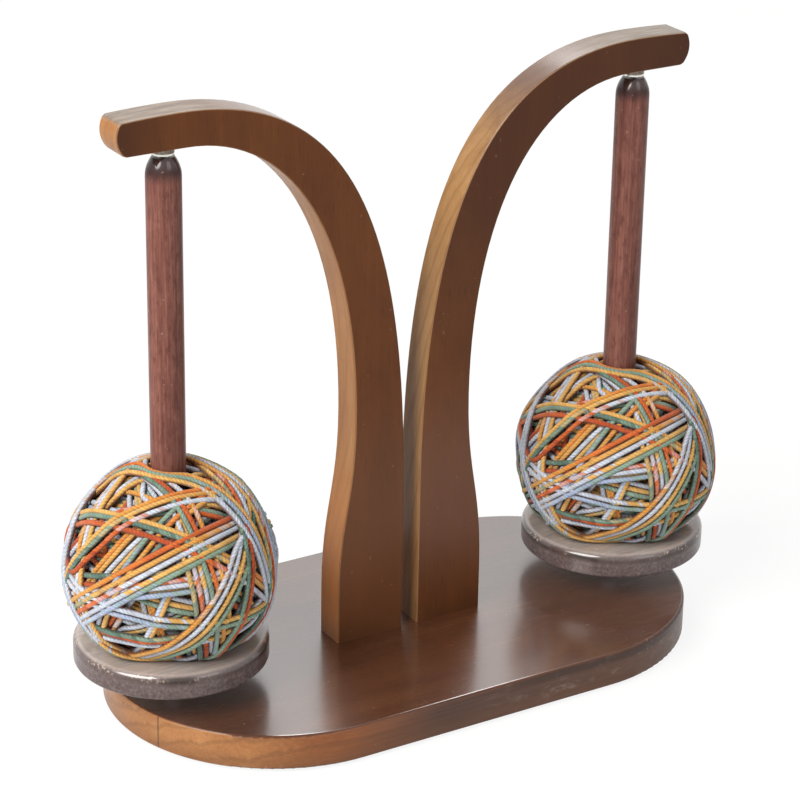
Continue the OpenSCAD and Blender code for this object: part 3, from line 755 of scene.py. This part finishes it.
def yarn_material(side):
    """Variegated yarn: the colour follows the length, and the plies are twisted round it, with painted shade
    in the grooves and on each strand's inner side.
    """
    g = Graph("yarn_" + side)
    u, v, _ = g.axes(g.node("UVMap", uv_map="strand").outputs[0])
    wound = g.math("ADD", g.product(u, float(PLIES)), g.product(v, 1 / PLY_PITCH))
    ridge = g.math("SINE", g.product(g.math("FRACT", wound), math.pi))
    tint = g.draw(g.math("FLOORED_MODULO", g.math("FLOOR", wound), float(PLIES)))
    dyed = g.math("ADD", v, g.product(tint, PLY_LAG))
    colour = g.ramp(g.math("FRACT", g.product(dyed, 1 / DYE_REPEAT)), DYES)
    along_plies = g.node("CombineXYZ", {
        "X": g.product(wound, HAIRS_ACROSS), "Y": g.product(v, HAIRS_ALONG)}).outputs[0]
    hairs = g.noise(along_plies, 1.0, 3.0, 0.6)
    fluff = g.noise(g.spot, 1500.0, 3.0, 0.6)
    patch = g.noise(g.spot, 130.0, 2.0, 0.5)
    outward = g.math("SINE", g.product(u, 2 * math.pi))
    deep_dye_and_shade = g.mix(1.0, colour, DEEP_DYE_AND_SHADE, "MULTIPLY")
    colour = g.over(colour, deep_dye_and_shade, g.span(tint, 0.0, 1.0, TINT_SHARE, 0.0))
    colour = g.over(colour, deep_dye_and_shade, g.span(hairs, 0.35, 0.65, HAIR_SHARE, 0.0))
    # Painted shade in the grooves between the plies
    colour = g.over(colour, deep_dye_and_shade, g.span(ridge, 0.6, 0.0), GROOVE_SHADE_SHARE)
    # Painted shade on the side of each strand that faces inwards
    colour = g.over(colour, deep_dye_and_shade, g.span(outward, 0.85, -0.15))
    colour = g.over(colour, FLUFF, g.span(fluff, 0.45, 0.8, 0.0, FLUFF_SHARE))
    colour = g.mix(g.span(patch, 0.35, 0.65, SOIL_SHARE, 0.0), colour, SOIL, "MULTIPLY")
    g.bump(g.math("ADD", ridge, g.product(hairs, 0.8)), 0.5, 0.0004)
    return g.surface(
        Base_Color=colour, Roughness=0.85, Specular_IOR_Level=0.2, Sheen_Weight=0.14, Sheen_Roughness=0.5)


def inside_material():
    """Mixed dyes of the turns inside, darkened as painted shade where they show between the outer strands."""
    g = Graph("yarn_inside")
    lay = g.noise(g.stretched((1.0, 0.25, 1.0)), 330.0, 3.0, 0.6, 1.2)
    g.bump(lay, 0.6, 0.0015)
    return g.surface(Base_Color=g.ramp(lay, INSIDE_SHADED_DYES), Roughness=0.9, Specular_IOR_Level=0.15)


def make_mesh(name, corners, faces):
    mesh = bpy.data.meshes.new(name)
    mesh.from_pydata([tuple(c) for c in corners], [], faces)
    mesh.polygons.foreach_set("use_smooth", [True] * len(mesh.polygons))
    mesh.validate()
    mesh.update()
    return mesh


def make_piece(name, mesh, middle=NO_SHIFT):
    piece = bpy.data.objects.new(name, mesh)
    piece.location = middle
    bpy.context.scene.collection.objects.link(piece)
    return piece


# Inside of a ball: seed, steps of its outline, round it and in its bore, rings of its foot, and its lumps
INSIDE_SEED = 5
ARC_STEPS, ROUND_STEPS, BORE_STEPS = 28, 72, 4
FOOT_RINGS = (0.75, 0.45)
LUMPS, LUMP_HEIGHT, LUMP_STEP = 7, 0.0006, 0.22


def inside_mesh(name, bore, foot):
    """Inside of a ball: turned about the rod's hole, flat underneath, and lumpy like wound yarn."""
    rng = np.random.default_rng(INSIDE_SEED)
    top = math.acos(bore / INSIDE_R)
    bottom = -math.asin(-foot / INSIDE_R)
    arc = [top + (bottom - top) * k / ARC_STEPS for k in range(ARC_STEPS + 1)]
    profile = [(INSIDE_R * math.cos(a), INSIDE_R * math.sin(a)) for a in arc]
    (_, high), (edge, _) = profile[0], profile[-1]
    profile += [(share * edge, foot) for share in FOOT_RINGS]
    profile += [(bore, foot + (high - foot) * k / BORE_STEPS) for k in range(BORE_STEPS)]
    lumps = [
        (rng.integers(3, 9), rng.integers(2, 9), rng.uniform(0, PHASES), rng.uniform(0.1, 0.3))
        for _ in range(LUMPS)]
    corners = []
    for t in range(ROUND_STEPS):
        a = 2 * math.pi * t / ROUND_STEPS
        for k, (r, z) in enumerate(profile):
            if 0 < k < ARC_STEPS:
                waves = (s * math.sin(m * a + n * k * LUMP_STEP + p) for m, n, p, s in lumps)
                swell = 1 + sum(waves) * LUMP_HEIGHT / INSIDE_R
                r, z = r * swell, z * swell
            corners.append((r * math.cos(a), r * math.sin(a), max(z, foot)))
    n = len(profile)
    faces = []
    for t in range(ROUND_STEPS):
        here, beside = t * n, (t + 1) % ROUND_STEPS * n
        for k in range(n):
            below = (k + 1) % n
            faces.append([here + k, beside + k, beside + below, here + below])
    return make_mesh(name, corners, faces)


def make_yarn():
    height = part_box("left_disc")[1].z + BALL_MID
    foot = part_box("left_yarn_winding")[0].z - height + STRAND / 2
    rod_lo, rod_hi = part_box("left_rod")
    bore = (rod_hi.x - rod_lo.x) / 2 + ROD_GAP
    corners, faces, uv = tube(yarn_path(bore + STRAND / 2, foot))
    for side in SIDES:
        lo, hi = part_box(side + "_disc")
        middle = Vector(((lo.x + hi.x) / 2, (lo.y + hi.y) / 2, height))
        mesh = make_mesh(side + "_yarn", corners, faces)
        mesh.uv_layers.new(name="strand").uv.foreach_set("vector", uv.astype(np.float32).ravel())
        mesh.materials.append(yarn_material(side))
        ball = make_piece(side + "_yarn", mesh, middle)
        inside = inside_mesh(side + "_yarn_inside", bore, foot + STRAND / 2)
        inside.materials.append(inside_material())
        core = make_piece(side + "_yarn_inside", inside, middle)
        for piece, node in ((ball, "_yarn_winding"), (core, "_yarn_core")):
            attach(piece, side + "_spindle")
            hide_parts(side + node)


def dress(node, material):
    """Gives a CAD node its finish."""
    piece = NODES[node]
    piece.data.materials.clear()
    piece.data.materials.append(material)
    return piece


def even_out(piece):
    """Joins the facets of a skinned CAD node into smooth shading, without moving a corner."""
    mesh = piece.data
    mesh.polygons.foreach_set("use_smooth", [True] * len(mesh.polygons))
    for name in ("custom_normal", "sharp_edge"):
        if name in mesh.attributes:
            mesh.attributes.remove(mesh.attributes[name])
    weld = piece.modifiers.new("join", "WELD")
    weld.merge_threshold = TINY
    weighted = piece.modifiers.new("even", "WEIGHTED_NORMAL")
    weighted.mode = "FACE_AREA"
    weighted.weight = 100
    weighted.keep_sharp = False


def dress_nodes():
    dress("base_board", board_material())
    polished = metal_material("ball_steel", STEEL, STEEL_ROUGH, STEEL_GRAIN)
    zinc = metal_material("screw_zinc", ZINC, ZINC_ROUGH, ZINC_GRAIN)
    rubber = rubber_material()
    for corner in ("front_left", "front_right", "back_left", "back_right"):
        dress(corner + "_pad", rubber)
    for side in SIDES:
        even_out(dress(side + "_arm", arm_material(side)))
        dress(side + "_arm_screws", zinc)
        dress(side + "_disc_screw", zinc)
        dress(side + "_magnet", magnet_material(side))
        dress(side + "_pivot_ball", polished)
        dress(side + "_rod", rod_material(side))
        dress(side + "_disc", disc_material(side))


def add_camera():
    right = math.cos(ROLL) * VIEW_RIGHT + math.sin(ROLL) * VIEW_UP
    up = -math.sin(ROLL) * VIEW_RIGHT + math.cos(ROLL) * VIEW_UP
    data = bpy.data.cameras.new("camera")
    data.lens = LENS_MM
    data.sensor_width = SENSOR_MM
    camera = bpy.data.objects.new("camera", data)
    turn = Matrix((right, up, VIEW_BACK)).transposed().to_4x4()
    camera.matrix_world = Matrix.Translation(TARGET + DISTANCE * VIEW_BACK) @ turn
    bpy.context.scene.collection.objects.link(camera)
    bpy.context.scene.camera = camera


def seen_or_mirrored(tree):
    """1 where a camera, mirror or glass ray arrives, else 0."""
    path = tree.nodes.new("ShaderNodeLightPath")
    share = path.outputs["Is Camera Ray"]
    for name in ("Is Glossy Ray", "Is Transmission Ray"):
        both = tree.nodes.new("ShaderNodeMath")
        both.operation = "MAXIMUM"
        tree.links.new(share, both.inputs[0])
        tree.links.new(path.outputs[name], both.inputs[1])
        share = both.outputs[0]
    return share


def add_world():
    """White all round where it is seen, and a weaker light on the part."""
    world = bpy.data.worlds.new("studio")
    bpy.context.scene.world = world
    world.use_nodes = True
    tree = world.node_tree
    background = next(n for n in tree.nodes if n.type == "BACKGROUND")
    background.inputs["Color"].default_value = (*WHITE, 1.0)
    level = tree.nodes.new("ShaderNodeMapRange")
    level.inputs["To Min"].default_value = FILL_LIGHT
    level.inputs["To Max"].default_value = 1.0
    tree.links.new(seen_or_mirrored(tree), level.inputs["Value"])
    tree.links.new(level.outputs[0], background.inputs["Strength"])


def add_floor():
    """White floor that takes a soft shadow."""
    corners = [(x * FLOOR_HALF, y * FLOOR_HALF, 0) for x, y in ((-1, -1), (1, -1), (1, 1), (-1, 1))]
    mesh = make_mesh("floor", corners, [[0, 1, 2, 3]])
    floor = make_piece("floor", mesh)
    g = Graph("floor_white")
    g.surface(Base_Color=FLOOR_COLOUR, Roughness=0.9, Specular_IOR_Level=0.0)
    glow = g.node("Emission", {"Color": WHITE, "Strength": 1.0})
    share = g.product(seen_or_mirrored(g.tree), FLOOR_GLOW)
    mixed = g.node("MixShader", {0: share, 1: g.shader.outputs[0], 2: glow.outputs[0]})
    output = next(n for n in g.tree.nodes if n.type == "OUTPUT_MATERIAL")
    g.put(output.inputs["Surface"], mixed.outputs[0])
    mesh.materials.append(g.material)


def add_lamp(name, place, size, watts, colour):
    data = bpy.data.lights.new(name, "AREA")
    data.shape = "DISK"
    data.size = size
    data.energy = watts
    data.color = colour
    lamp = bpy.data.objects.new(name, data)
    lamp.location = place
    aim = LAMP_AIM - Vector(place)
    lamp.rotation_euler = aim.to_track_quat("-Z", "Y").to_euler()
    bpy.context.scene.collection.objects.link(lamp)


add_camera()
add_world()
add_floor()
for lamp in LAMPS:
    add_lamp(*lamp)
dress_nodes()
make_yarn()

scene = bpy.context.scene
scene.view_settings.view_transform = "Standard"
